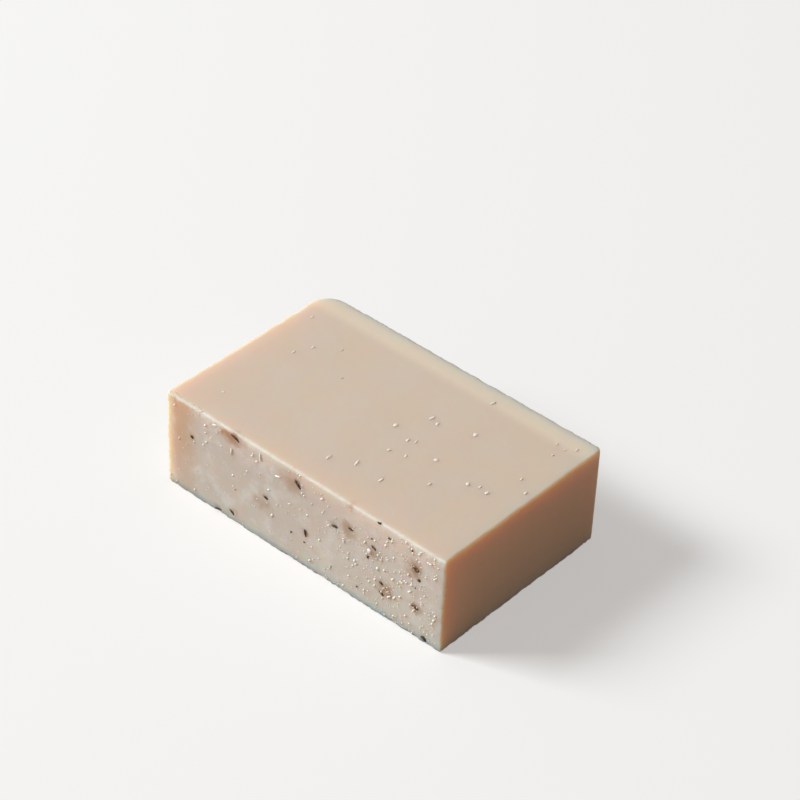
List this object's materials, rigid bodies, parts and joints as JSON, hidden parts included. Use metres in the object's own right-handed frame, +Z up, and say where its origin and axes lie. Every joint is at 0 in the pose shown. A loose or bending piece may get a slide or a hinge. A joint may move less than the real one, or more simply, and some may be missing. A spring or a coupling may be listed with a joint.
{
  "type": "bar of soap",
  "caption": "Rectangular bar of hand-cut cold-process soap with a smooth top, one rough cut side set with dried herbs, and lightly worn edges.",
  "frame": {"origin": "middle of the large face that the bar lies on", "axes": "+X along the bar, +Y across it towards the trimmed edge and away from the rough cut side, +Z up"},
  "size_m": [0.089, 0.057, 0.0278],
  "materials": {
    "soap": "satin, pale beige, slightly waxy and translucent"
  },
  "bodies": {
    "root": {"soap_bar": "soap"}
  },
  "joints": []
}
